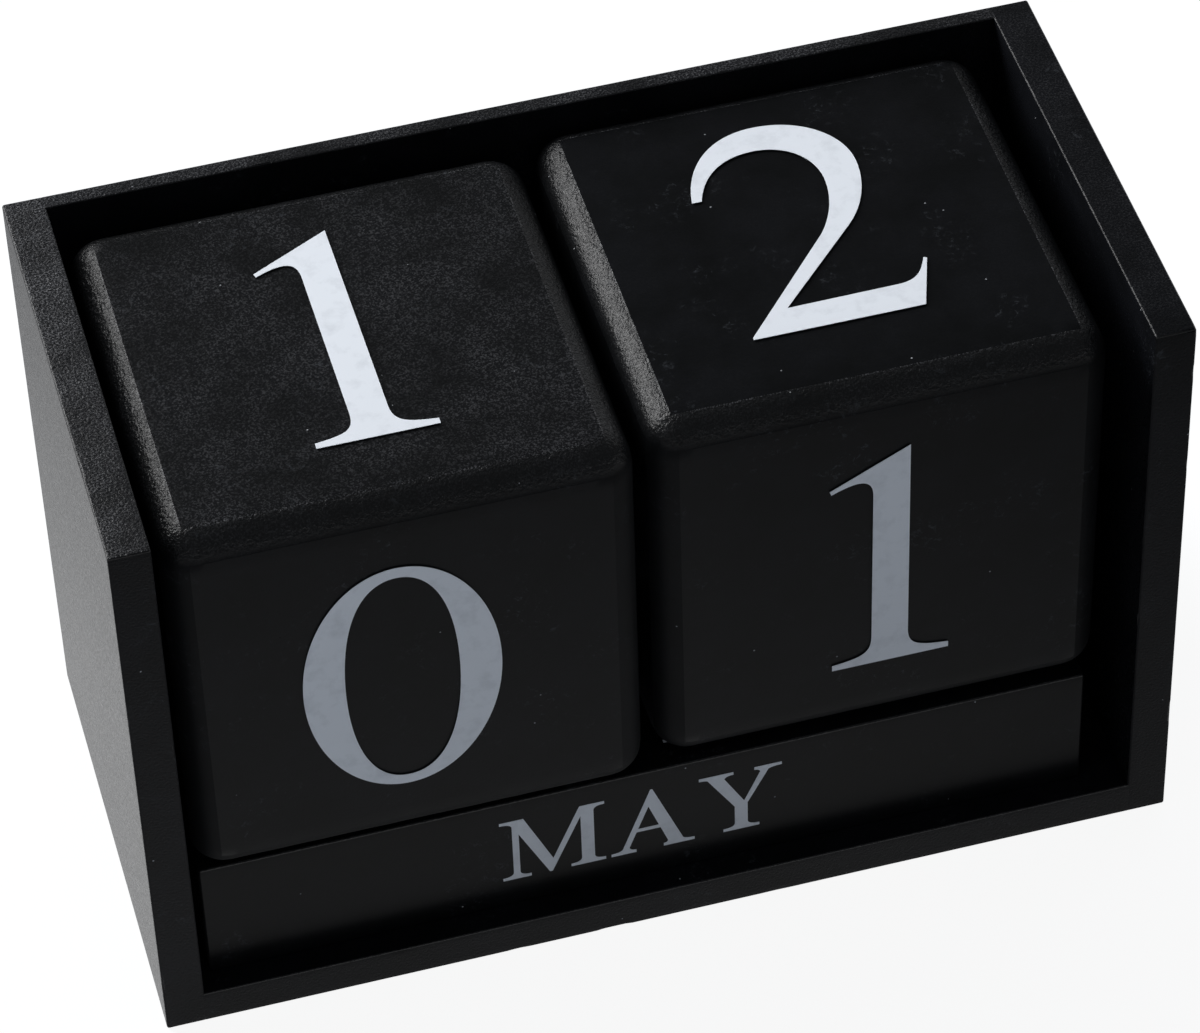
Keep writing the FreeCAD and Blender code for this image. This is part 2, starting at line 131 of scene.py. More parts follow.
class Body(Enum):
    """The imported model's bodies."""

    HOLDER = "holder"
    LEFT_CUBE = "left_date_cube"
    RIGHT_CUBE = "right_date_cube"
    REAR_BAR = "rear_bar"
    MIDDLE_BAR = "middle_bar"
    FRONT_BAR = "front_bar"


class Closed(Enum):
    """How closed the flat faces across X, Y and Z are: 1 is board face, 0 is a dry sawn edge."""

    # Lower numbers give a flat face more of the paint's pale speckle, partly fibre ends and partly
    # painted glints, so it reads lighter
    OPEN_TOPPED_CUBE = (1.0, 1.0, 0.8)
    CLOSED_TOPPED_CUBE = (1.0, 1.0, 0.99)
    DRY_SIDE_BOARD = (1.0, 0.98, 0.38)
    SEALED_SIDE_BOARD = (1.0, 0.98, 0.9)
    BACK_BOARD = (0.9, 1.0, 0.62)
    FLOOR_BOARD = (0.9, 0.97, 1.0)
    BAR = (0.5, 1.0, 1.0)


@dataclass(frozen=True)
class SatinPaintOnFibreboard:
    """Black satin furniture paint, rolled on fibreboard (MDF).

    Board faces are closed and even, so they stay soft and quiet. Round-overs and sawn edges drink
    the paint and dry with a raised grain whose facets glitter against the light. The driest edges,
    the upturned round-overs and their creases show a pale grey speckle, partly fibre ends standing
    out of the paint and partly painted glints of grain catching the light, with a painted
    highlight line over worn paint along each upturned crease. The matting agent keeps the gloss
    low from the front and lets it rise at a grazing view.

    A band is the stretch of a noise's values over which its pattern comes in.
    """

    name: str
    colour: str = "#090a0b"
    worn_colour: str = "#0d0e10"

    # A paint film starts from 1.5, but the matting agent takes most of its gloss seen from
    # the front, and so does this lower index
    ior: float = 1.137
    face_roughness: float = 0.3
    grain_roughness: float = 0.6
    gloss_spread: float = 0.1

    # Rolling leaves the coat a little thicker and thinner in patches
    mottle_mm: float = 8.0
    mottle_band: tuple[float, float] = (0.36, 0.62)

    # The roller's orange peel on a board face
    face_grain_mm: float = 0.3
    face_grain_height_mm: float = 0.012

    # Raised grain of soaked fibre, really 0.1 to 0.3 mm wide and drawn coarser so that it shows
    grain_mm: float = 0.42
    grain_height_mm: float = 0.18

    # The harder film that pools on an upturned round-over
    film_roughness: float = 0.3
    film_share: float = 0.7

    # A pale speckle: fibre ends, really a few hundredths of a millimetre wide and drawn coarser,
    # and painted glints, with a painted highlight line along upturned creases
    fibre_and_glint_colour: str = "#66676a"
    speckle_mm: float = 0.2
    speckle_band: tuple[float, float] = (0.49, 0.65)
    least_thirst: float = 0.2
    crease_wear_and_highlight: float = 0.2
    crest_dryness_and_glint: float = 0.06
    worn_and_highlit_from: float = 0.5

    # Dust nibs, really about 0.05 mm across and drawn coarser so that they show
    nib_colour: str = "#a2a5a9"
    nib_spacing_mm: float = 4.0
    nib_radius_mm: float = 0.13
    nib_height_mm: float = 0.08

    # Smudges of fine scratches, really about 0.05 mm wide and drawn coarser so that they show
    scuff_colour: str = "#3c3f43"
    rub_mm: float = 7.0
    rub_band: tuple[float, float] = (0.54, 0.68)
    scuff_mm: float = 1.0
    scratch_band: tuple[float, float] = (0.56, 0.74)

    def material(self) -> bpy.types.Material:
        """Builds the paint.

        Returns:
            The material, which reads what a block's mesh tells it.
        """
        made = bpy.data.materials.new(self.name)
        made.use_nodes = True
        n = Nodes(made.node_tree)
        place = n.add("ShaderNodeTexCoord", out="Object")
        grain, dry, wear, topside = [
            n.add("ShaderNodeAttribute", attribute_name=told, out="Fac")
            for told in (GRAIN, DRY, WEAR_AND_HIGHLIGHT, TOPSIDE)]

        mottle = n.add("ShaderNodeTexNoise", {
            "Vector": place, "Scale": per_mm(self.mottle_mm), "Detail": 5.0, "Roughness": 0.65})
        patches = n.add("ShaderNodeMapRange", {
            "Value": mottle, "From Min": self.mottle_band[0], "From Max": self.mottle_band[1]})
        face = n.add("ShaderNodeMix", {
            "Factor": patches, COLOUR_A: linear(self.colour), COLOUR_B: linear(self.worn_colour)},
            out=COLOUR_OUT, data_type="RGBA")

        # Dry edges, upturned round-overs and creases: a pale speckle, partly fibre ends standing
        # out of the paint and partly painted glints, with a painted highlight line over worn paint
        # along each upturned crease, more in some patches
        speckle_noise = n.add("ShaderNodeTexNoise", {
            "Vector": place, "Scale": per_mm(self.speckle_mm), "Detail": 1.0, "Roughness": 0.6})
        speckle_dots = n.add("ShaderNodeMapRange", {
            "Value": speckle_noise, "From Min": self.speckle_band[0], "From Max": self.speckle_band[1]})
        thirst = n.add("ShaderNodeMapRange", {"Value": patches, "To Min": self.least_thirst})
        # Upturned grain: its pale speckle is painted glint where the light falls, so upright
        # round-overs stay dark; it also sets the grain's relief and film
        crest = n.add("ShaderNodeMath", {0: grain, 1: topside}, operation="MULTIPLY")
        # The crease band: worn paint and a painted highlight line, strongest on the crease
        worn_and_highlit_line = n.add("ShaderNodeMapRange", {
            "Value": wear, "From Min": self.worn_and_highlit_from, "To Min": self.crest_dryness_and_glint,
            "To Max": self.crease_wear_and_highlight})
        fibre_and_glint_share = n.add("ShaderNodeMath", {
            0: crest, 1: worn_and_highlit_line, 2: dry}, operation="MULTIPLY_ADD")
        fibre_and_glint_here = n.add("ShaderNodeMath", {0: fibre_and_glint_share, 1: thirst}, operation="MULTIPLY")
        fibre_and_glint_speckle = n.add("ShaderNodeMath", {0: speckle_dots, 1: fibre_and_glint_here}, operation="MULTIPLY",
                         use_clamp=True)
        edge = n.add("ShaderNodeMix", {
            "Factor": fibre_and_glint_speckle, COLOUR_A: face, COLOUR_B: linear(self.fibre_and_glint_colour)},
            out=COLOUR_OUT, data_type="RGBA")

        # Scuffs: smudges of fine scratches where something rubbed the satin
        rub_noise = n.add("ShaderNodeTexNoise", {
            "Vector": place, "Scale": per_mm(self.rub_mm), "Detail": 2.0})
        rub = n.add("ShaderNodeMapRange", {
            "Value": rub_noise, "From Min": self.rub_band[0], "From Max": self.rub_band[1]})
        scratches = n.add("ShaderNodeTexNoise", {
            "Vector": place, "Scale": per_mm(self.scuff_mm), "Detail": 5.0, "Roughness": 0.8,
            "Distortion": 0.6})
        scratch = n.add("ShaderNodeMapRange", {
            "Value": scratches, "From Min": self.scratch_band[0],
            "From Max": self.scratch_band[1]})
        scuff = n.add("ShaderNodeMath", {0: scratch, 1: rub}, operation="MULTIPLY")
        body = n.add("ShaderNodeMix", {
            "Factor": scuff, COLOUR_A: edge, COLOUR_B: linear(self.scuff_colour)},
            out=COLOUR_OUT, data_type="RGBA")

        # Nibs: dust caught in the wet coat, a few to a face
        cells = n.add("ShaderNodeTexVoronoi", {
            "Vector": place, "Scale": per_mm(self.nib_spacing_mm), "Randomness": 1.0},
            out="Distance")
        nib_edge = self.nib_radius_mm / self.nib_spacing_mm
        nib = n.add("ShaderNodeMapRange", {
            "Value": cells, "From Min": nib_edge / 2, "From Max": nib_edge,
            "To Min": 1.0, "To Max": 0.0})
        painted = n.add("ShaderNodeMix", {
            "Factor": nib, COLOUR_A: body, COLOUR_B: linear(self.nib_colour)},
            out=COLOUR_OUT, data_type="RGBA")

        # Gloss and relief: quiet on board faces, rough and raised where the grain is open
        fine = n.add("ShaderNodeTexNoise", {
            "Vector": place, "Scale": per_mm(self.face_grain_mm), "Detail": 2.0})
        coarse = n.add("ShaderNodeTexNoise", {
            "Vector": place, "Scale": per_mm(self.grain_mm), "Detail": 2.0, "Roughness": 0.6})
        smooth = n.add("ShaderNodeMapRange", {
            "Value": grain, "To Min": self.face_roughness - self.gloss_spread / 2,
            "To Max": self.grain_roughness - self.gloss_spread / 2})
        rough = n.add("ShaderNodeMath", {
            0: fine, 1: self.gloss_spread, 2: smooth}, operation="MULTIPLY_ADD")
        fine_height = n.add("ShaderNodeMath", {
            0: fine, 1: self.face_grain_height_mm * MM}, operation="MULTIPLY")
        coarse_height = n.add("ShaderNodeMath", {
            0: coarse, 1: self.grain_height_mm * MM}, operation="MULTIPLY")
        grain_height = n.add("ShaderNodeMath", {
            0: coarse_height, 1: crest, 2: fine_height}, operation="MULTIPLY_ADD")
        nib_height = n.add("ShaderNodeMath", {
            0: nib, 1: self.nib_height_mm * MM, 2: grain_height}, operation="MULTIPLY_ADD")
        bump = n.add("ShaderNodeBump", {
            "Height": nib_height, "Distance": 1.0, "Strength": 1.0}, out="Normal")

        # The film over the round-overs has its own gloss
        film = n.add("ShaderNodeMath", {0: crest, 1: self.film_share}, operation="MULTIPLY")
        shader = n.add("ShaderNodeBsdfPrincipled", {
            "Base Color": painted, "Roughness": rough, "IOR": self.ior, "Normal": bump,
            "Coat Weight": film, "Coat Roughness": self.film_roughness, "Coat Normal": bump})
        n.add("ShaderNodeOutputMaterial", {"Surface": shader})
        return made


@dataclass(frozen=True)
class ScreenPrintInk:
    """White screen-printing ink, a flat opaque film that follows the face under it.

    It reads as a cool, matt white, a trace thinner in patches where the squeegee lifted.
    """

    name: str = "white_screen_print_ink"
    colour: str = "#dfe4eb"
    thin_colour: str = "#d0d5dc"

    # An ink film starts from 1.5, and its chalky pigment takes part of the gloss
    ior: float = 1.3
    roughness: float = 0.55
    patch_mm: float = 2.5
    thin_band: tuple[float, float] = (0.5, 0.75)

    # The mesh's tooth, really about 0.1 mm and drawn coarser so that it shows
    tooth_mm: float = 0.25
    tooth_height_mm: float = 0.004

    def material(self) -> bpy.types.Material:
        """Builds the ink.

        Returns:
            The material.
        """
        made = bpy.data.materials.new(self.name)
        made.use_nodes = True
        n = Nodes(made.node_tree)
        place = n.add("ShaderNodeTexCoord", out="Object")
        patches = n.add("ShaderNodeTexNoise", {
            "Vector": place, "Scale": per_mm(self.patch_mm), "Detail": 4.0, "Roughness": 0.6})
        thin = n.add("ShaderNodeMapRange", {
            "Value": patches, "From Min": self.thin_band[0], "From Max": self.thin_band[1]})
        colour = n.add("ShaderNodeMix", {
            "Factor": thin, COLOUR_A: linear(self.colour), COLOUR_B: linear(self.thin_colour)},
            out=COLOUR_OUT, data_type="RGBA")
        tooth = n.add("ShaderNodeTexNoise", {
            "Vector": place, "Scale": per_mm(self.tooth_mm), "Detail": 2.0})
        height = n.add("ShaderNodeMath", {
            0: tooth, 1: self.tooth_height_mm * MM}, operation="MULTIPLY")
        bump = n.add("ShaderNodeBump", {"Height": height, "Distance": 1.0}, out="Normal")
        shader = n.add("ShaderNodeBsdfPrincipled", {
            "Base Color": colour, "Roughness": self.roughness, "IOR": self.ior, "Normal": bump})
        n.add("ShaderNodeOutputMaterial", {"Surface": shader})
        return made


@dataclass
class BlockTree:
    """One Geometry Nodes tree that makes a rounded, sanded block from named sizes.

    Arc cells lie along each half of a round-over. Folds under the crease angle are shaded smooth.
    The worn and highlit angle, in radians, is how far each side of a crease is marked for the
    paint's worn paint and painted highlight line, and the flat margin is how little past the
    crease a cell still counts as a flat face. The upturned band is how much a place faces up, from
    where its grain shows to where it shows in full.
    """

    arc_cells: int = 5
    crease_angle_deg: float = 13.0
    worn_and_highlit_angle: float = 0.14
    nick_band: tuple[float, float] = (0.70, 0.80)
    flat_margin: float = 0.002
    upturned_band: tuple[float, float] = (0.27, 0.62)
    tree: bpy.types.NodeTree = field(init=False)
    nodes: Nodes = field(init=False)

    def __post_init__(self) -> None:
        """Builds the tree once."""
        self.tree = bpy.data.node_groups.new("sanded_block", "GeometryNodeTree")
        self.nodes = Nodes(self.tree)
        self._build(self._sockets())

    def _sockets(self) -> dict[str, bpy.types.NodeSocket]:
        """Makes the named inputs and the output.

        Returns:
            Each named input's socket inside the tree.
        """
        face = self.tree.interface
        for name, kind in (
                ("Size", "NodeSocketVector"), ("Centre", "NodeSocketVector"),
                ("Closed", "NodeSocketVector"), ("Round", "NodeSocketFloat"),
                ("Sanding", "NodeSocketFloat"), ("Spacing", "NodeSocketFloat"),
                ("Wander", "NodeSocketFloat"), ("Wander Length", "NodeSocketFloat"),
                ("Nick", "NodeSocketFloat"), ("Nick Spacing", "NodeSocketFloat"),
                ("Seed", "NodeSocketFloat"), ("Material", "NodeSocketMaterial")):
            face.new_socket(name, in_out="INPUT", socket_type=kind)
        face.new_socket("Geometry", in_out="OUTPUT", socket_type="NodeSocketGeometry")
        group = self.nodes.add("NodeGroupInput", out=None)
        return {socket.name: socket for socket in group.outputs if socket.name}

    def _build(self, given: dict[str, bpy.types.NodeSocket]) -> None:
        """Fills the tree.

        A unit cube's grid is spread so that a few cells lie along each round-over, then each
        point moves out along its arc and back to the sanded faces.

        Args:
            given: Each named input's socket.
        """
        add = self.nodes.add
        vector, number = "ShaderNodeVectorMath", "ShaderNodeMath"

        # The arc starts where the sanded face cuts it, at the crease
        reach = add(number, {0: given["Round"], 1: given["Sanding"]}, operation="SUBTRACT")
        crease_cosine = add(number, {0: reach, 1: given["Round"]}, operation="DIVIDE")
        crease = add(number, {0: crease_cosine}, operation="ARCCOSINE")
        crease_tangent = add(number, {0: crease}, operation="TANGENT")

        # Cells: one from arc centre to crease, a few along the arc, and even ones between
        half = add(vector, {0: given["Size"], "Scale": 0.5}, operation="SCALE")
        core = add(vector, {0: half, 1: reach}, operation="SUBTRACT")
        wanted = add(vector, {0: core, 1: given["Spacing"]}, operation="DIVIDE")
        whole = add(vector, {0: wanted}, operation="CEIL")
        flat_cells = add(vector, {0: whole, 1: ONES}, operation="MAXIMUM")
        half_cells = add(vector, {0: flat_cells, 1: (1.0 + self.arc_cells,) * 3}, operation="ADD")
        corners = add(vector, {0: half_cells, 1: TWOS, 2: ONES}, operation="MULTIPLY_ADD")
        counts = add("ShaderNodeSeparateXYZ", {0: corners}, out=None).outputs
        cube = add("GeometryNodeMeshCube", {
            "Size": TWOS, "Vertices X": counts[0], "Vertices Y": counts[1],
            "Vertices Z": counts[2]})

        # Where each point of the even grid belongs
        point = add("GeometryNodeInputPosition")
        side = add(vector, {0: point}, operation="SIGN")
        out = add(vector, {0: point}, operation="ABSOLUTE")
        step = add(vector, {0: out, 1: half_cells}, operation="MULTIPLY")
        in_core = add(vector, {0: step, 1: flat_cells}, operation="MINIMUM")
        core_share = add(vector, {0: in_core, 1: flat_cells}, operation="DIVIDE")
        along = add(vector, {0: core_share, 1: core}, operation="MULTIPLY")
        past = add(vector, {0: step, 1: flat_cells}, operation="SUBTRACT")
        first = add(vector, {0: past, 1: ZEROS}, operation="MAXIMUM")
        first_cell = add(vector, {0: first, 1: ONES}, operation="MINIMUM")
        arc = add(vector, {0: past, 1: ONES}, operation="SUBTRACT")
        arc_step = add(vector, {0: arc, 1: ZEROS}, operation="MAXIMUM")
        arc_share = add(vector, {0: arc_step, "Scale": 1 / self.arc_cells}, operation="SCALE")

        # Tangent of each point's angle: up to the crease in one cell, then evenly to 45 degrees
        sweep = add(number, {0: math.pi / 4, 1: crease}, operation="SUBTRACT")
        turned = add(vector, {0: arc_share, "Scale": sweep}, operation="SCALE")
        angle = add(vector, {0: turned, 1: crease}, operation="ADD")
        tangent = add(vector, {0: angle}, operation="TANGENT")
        past_crease = add(vector, {0: tangent, 1: crease_tangent}, operation="SUBTRACT")
        to_crease = add(vector, {0: first_cell, "Scale": crease_tangent}, operation="SCALE")
        lean = add(vector, {0: to_crease, 1: past_crease}, operation="ADD")
        way = add(vector, {0: lean}, operation="NORMALIZE")

        # Hand sanding: the round-over wanders a little and has a few shallow nicks
        moved = add(vector, {0: way, 1: reach}, operation="MULTIPLY")
        rest = add(vector, {0: along, 1: moved}, operation="ADD")
        at = add(vector, {0: rest, 1: side}, operation="MULTIPLY")
        wander, nicks = [
            add("ShaderNodeTexNoise", {
                "Vector": at, "W": given["Seed"], "Detail": detail,
                "Scale": add(number, {0: 1.0, 1: given[length]}, operation="DIVIDE")},
                noise_dimensions="4D")
            for length, detail in (("Wander Length", 2.0), ("Nick Spacing", 0.0))]
        nick = add("ShaderNodeMapRange", {
            "Value": nicks, "From Min": self.nick_band[0], "From Max": self.nick_band[1],
            "To Min": 0.0, "To Max": given["Nick"]})
        dip = add(number, {0: wander, 1: given["Wander"], 2: nick}, operation="MULTIPLY_ADD")
        lean_x, lean_y, lean_z = add("ShaderNodeSeparateXYZ", {0: way}, out=None).outputs
        larger = add(number, {0: lean_x, 1: lean_y}, operation="MAXIMUM")
        largest = add(number, {0: larger, 1: lean_z}, operation="MAXIMUM")
        on_arc = add("ShaderNodeMapRange", {
            "Value": largest, "From Min": 1.0, "From Max": crease_cosine})
        dip_here = add(number, {0: dip, 1: on_arc}, operation="MULTIPLY")
        radius = add(number, {0: given["Round"], 1: dip_here}, operation="SUBTRACT")
        bulge = add(vector, {0: way, "Scale": radius}, operation="SCALE")
        sanded = add(vector, {0: bulge, 1: reach}, operation="MINIMUM")
        offset = add(vector, {0: along, 1: sanded}, operation="ADD")
        signed = add(vector, {0: offset, 1: side}, operation="MULTIPLY")
        final = add(vector, {0: signed, 1: given["Centre"]}, operation="ADD")

        # Flat faces are as closed as Closed says, and round-overs are grained but not dry
        lift = add(vector, {0: way, 1: crease_cosine}, operation="SUBTRACT")
        past_lift = add(vector, {0: lift, 1: (self.flat_margin,) * 3}, operation="SUBTRACT")
        lift_sign = add(vector, {0: past_lift}, operation="SIGN")
        flat = add(vector, {0: lift_sign, 1: ZEROS}, operation="MAXIMUM")
        closed = add(vector, {0: flat, 1: given["Closed"]}, out="Value", operation="DOT_PRODUCT")
        grain = add(number, {0: 1.0, 1: closed}, operation="SUBTRACT", use_clamp=True)
        open_faces = add(vector, {0: ONES, 1: given["Closed"]}, operation="SUBTRACT")
        dry = add(vector, {0: flat, 1: open_faces}, out="Value", operation="DOT_PRODUCT")

        # Creases are marked on both sides, on a cube for about half a millimetre, where the paint
        # lays worn paint and a painted highlight line
        tilt = add(number, {0: largest}, operation="ARCCOSINE")
        off_crease = add(number, {0: tilt, 1: crease}, operation="SUBTRACT")
        away = add(number, {0: off_crease}, operation="ABSOLUTE")
        worn_and_highlit_band = add("ShaderNodeMapRange", {
            "Value": away, "From Max": self.worn_and_highlit_angle, "To Min": 1.0, "To Max": 0.0})

        # How far a place on a round-over faces up
        facing = add(vector, {0: way, 1: side}, operation="MULTIPLY")
        facing_up = add("ShaderNodeSeparateXYZ", {0: facing}, out="Z")
        upturned = add("ShaderNodeMapRange", {
            "Value": facing_up, "From Min": self.upturned_band[0],
            "From Max": self.upturned_band[1]})

        marked = cube
        for told, value, domain in ((GRAIN, grain, "FACE"), (DRY, dry, "FACE"),
                                    (WEAR_AND_HIGHLIGHT, worn_and_highlit_band, "POINT"), (TOPSIDE, upturned, "POINT")):
            marked = add("GeometryNodeStoreNamedAttribute", {
                "Geometry": marked, "Name": told, "Value": value},
                data_type="FLOAT", domain=domain)
        shaped = add("GeometryNodeSetPosition", {"Geometry": marked, "Position": final})
        edge = add("GeometryNodeInputMeshEdgeAngle")
        gentle = add("FunctionNodeCompare", {0: edge, 1: math.radians(self.crease_angle_deg)},
                     data_type="FLOAT", operation="LESS_THAN")
        rounded = add("GeometryNodeSetShadeSmooth", {"Geometry": shaped, "Shade Smooth": True},
                      domain="FACE")
        creased = add("GeometryNodeSetShadeSmooth", {
            "Geometry": rounded, "Shade Smooth": gentle}, domain="EDGE")
        real = add("GeometryNodeRealizeInstances", {"Geometry": creased})
        painted = add("GeometryNodeSetMaterial", {"Geometry": real, "Material": given["Material"]})
        add("NodeGroupOutput", {"Geometry": painted})

    def block(self, name: str, sizes: dict[str, object]) -> bpy.types.Object:
        """Grows one block and leaves it as a plain mesh.

        Args:
            name: The piece's name.
            sizes: Named input to value.

        Returns:
            The finished piece at the origin, with its place in its mesh.
        """
        piece = bpy.data.objects.new(name, bpy.data.meshes.new(name))
        bpy.context.scene.collection.objects.link(piece)
        grow = piece.modifiers.new("grow", "NODES")
        grow.node_group = self.tree
        ids = {item.name: item.identifier for item in self.tree.interface.items_tree
               if item.in_out == "INPUT"}
        for key, value in sizes.items():
            grow[ids[key]] = value
        ready = piece.evaluated_get(bpy.context.evaluated_depsgraph_get())
        mesh = bpy.data.meshes.new_from_object(ready)
        mesh.name = name
        piece.modifiers.remove(grow)
        spare = piece.data
        piece.data = mesh
        bpy.data.meshes.remove(spare)
        return piece


@dataclass(frozen=True)
class Woodwork:
    """How a kind of block is rounded, sanded and painted.

    A housed block runs on into the board at each end, so that no rounded end leaves a slit.
    Spacing is the size of the cells on its flat faces, and wander and nicks are how deep and
    how far apart the unevenness of its edges is.
    """

    round_mm: float
    sanding_mm: float
    closed: Closed
    slot: str
    housed_mm: float = 0.0
    spacing_mm: float = 0.8
    wander_mm: float = 0.02
    wander_length_mm: float = 3.0
    nick_mm: float = 0.1
    nick_spacing_mm: float = 4.0


@dataclass
class Joinery:
    """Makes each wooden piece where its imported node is."""

    tree: BlockTree
    paint: dict[str, bpy.types.Material]
    made: int = 0

    def piece(self, node: str, body: Body, work: Woodwork) -> bpy.types.Object:
        """Grows the block that stands for a node and joins it to its body.

        Args:
            node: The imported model's node.
            body: The body that it moves with.
            work: The shape of its edges and its finish.

        Returns:
            The finished piece.
        """
        low, high = [Vector(corner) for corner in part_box(node)]
        housed = Vector((work.housed_mm * MM, 0, 0))
        low, high = low - housed, high + housed
        self.made += 1
        made = self.tree.block(f"painted_{node}", {
            "Size": high - low, "Centre": (low + high) / 2, "Closed": work.closed.value,
            "Round": work.round_mm * MM, "Sanding": work.sanding_mm * MM,
            "Spacing": work.spacing_mm * MM, "Wander": work.wander_mm * MM,
            "Wander Length": work.wander_length_mm * MM, "Nick": work.nick_mm * MM,
            "Nick Spacing": work.nick_spacing_mm * MM, "Seed": SEED_STEP * self.made,
            "Material": self.paint[work.slot]})
        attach(made, body.value)
        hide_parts(node)
        log.info("%s: %d faces on %s", made.name, len(made.data.polygons), body.value)
        return made


@dataclass
class Tray:
    """The four glued boards that hold everything."""

    arris_mm: float = 0.3
    arris_sanding_mm: float = 0.02
    housed_mm: float = 0.4
    slot: str = "tray_paint"

    def build(self, joinery: Joinery) -> None:
        """Makes the boards.

        Args:
            joinery: Where the blocks are made.
        """
        for node, closed, housed_mm in (
                ("left_side_panel", Closed.DRY_SIDE_BOARD, 0.0),
                ("right_side_panel", Closed.SEALED_SIDE_BOARD, 0.0),
                ("back_panel", Closed.BACK_BOARD, self.housed_mm),
                ("floor_panel", Closed.FLOOR_BOARD, self.housed_mm)):
            work = Woodwork(self.arris_mm, self.arris_sanding_mm, closed, self.slot, housed_mm)
            joinery.piece(node, Body.HOLDER, work)


@dataclass
class NumberCube:
    """A cube with hand-rounded edges, sanded faces and a digit on each face."""

    node: str
    body: Body
    digits: str
    closed: Closed
    round_mm: float = 4.0
    sanding_mm: float = 0.14
    wander_mm: float = 0.09
    wander_length_mm: float = 2.2
    slot: str = "cube_paint"

    def build(self, joinery: Joinery, ink: bpy.types.Material) -> None:
        """Makes the cube and dresses its prints.

        Args:
            joinery: Where the blocks are made.
            ink: The print's finish.
        """
        work = Woodwork(self.round_mm, self.sanding_mm, self.closed, self.slot,
                        wander_mm=self.wander_mm, wander_length_mm=self.wander_length_mm,
                        nick_mm=0.0)
        joinery.piece(self.node, self.body, work)
        dress_prints([f"{self.node}_digit_{digit}" for digit in self.digits], ink)


@dataclass
class MonthBar:
    """A square bar with a month on each long face."""

    node: str
    body: Body
    months: tuple[str, ...]
    arris_mm: float = 0.4
    arris_sanding_mm: float = 0.03
    slot: str = "bar_paint"

    def build(self, joinery: Joinery, ink: bpy.types.Material) -> None:
        """Makes the bar and dresses its prints.

        Args:
            joinery: Where the blocks are made.
            ink: The print's finish.
        """
        work = Woodwork(self.arris_mm, self.arris_sanding_mm, Closed.BAR, self.slot)
        joinery.piece(self.node, self.body, work)
        dress_prints([f"month_{month}" for month in self.months], ink)


def dress_prints(nodes: list[str], ink: bpy.types.Material) -> None:
    """Gives printed films their ink.

    Args:
        nodes: The films' nodes.
        ink: The finish.
    """
    for node in nodes:
        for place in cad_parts[node].material_slots:
            place.material = ink
        log.info("%s: inked", node)


@dataclass(frozen=True)
class SoftLamp:
    """A soft box that faces the object, with a dimmer twin that only gloss sees."""

    name: str
    stands: tuple[float, float, float]
    long_side: tuple[float, float, float]
    size: tuple[float, float]
    distance: float
    watts: float
    gloss_share: float
    twin_gap_mm: float = 10.0
    aim: tuple[float, float, float] = (0.0, 0.0, 0.06)

    def build(self) -> None:
        """Hangs the lamp and, a little nearer so that neither hides the other, its twin."""
        lit = self._hang(self.name, self.watts, self.distance)
        lit.visible_glossy = False
        mirrored = self._hang(f"{self.name}_in_gloss", self.watts * self.gloss_share,
                              self.distance - self.twin_gap_mm * MM)
        mirrored.visible_diffuse = False
        mirrored.visible_transmission = False

    def _hang(self, name: str, watts: float, distance: float) -> bpy.types.Object:
        """Places one soft box.

        Args:
            name: The lamp's name.
            watts: Its power.
            distance: How far from the object it hangs.

        Returns:
            The lamp, facing the object and out of the camera's sight.
        """
        light = bpy.data.lights.new(name, "AREA")
        light.shape = "RECTANGLE"
        light.size, light.size_y = self.size
        light.energy = watts
        lamp = bpy.data.objects.new(name, light)
        way = Vector(self.stands).normalized()
        along = Vector(self.long_side)
        along = (along - way * along.dot(way)).normalized()
        turn = Matrix((along, way.cross(along), way)).transposed().to_4x4()
        lamp.matrix_world = Matrix.Translation(Vector(self.aim) + way * distance) @ turn
        lamp.visible_camera = False
        bpy.context.scene.collection.objects.link(lamp)
        return lamp


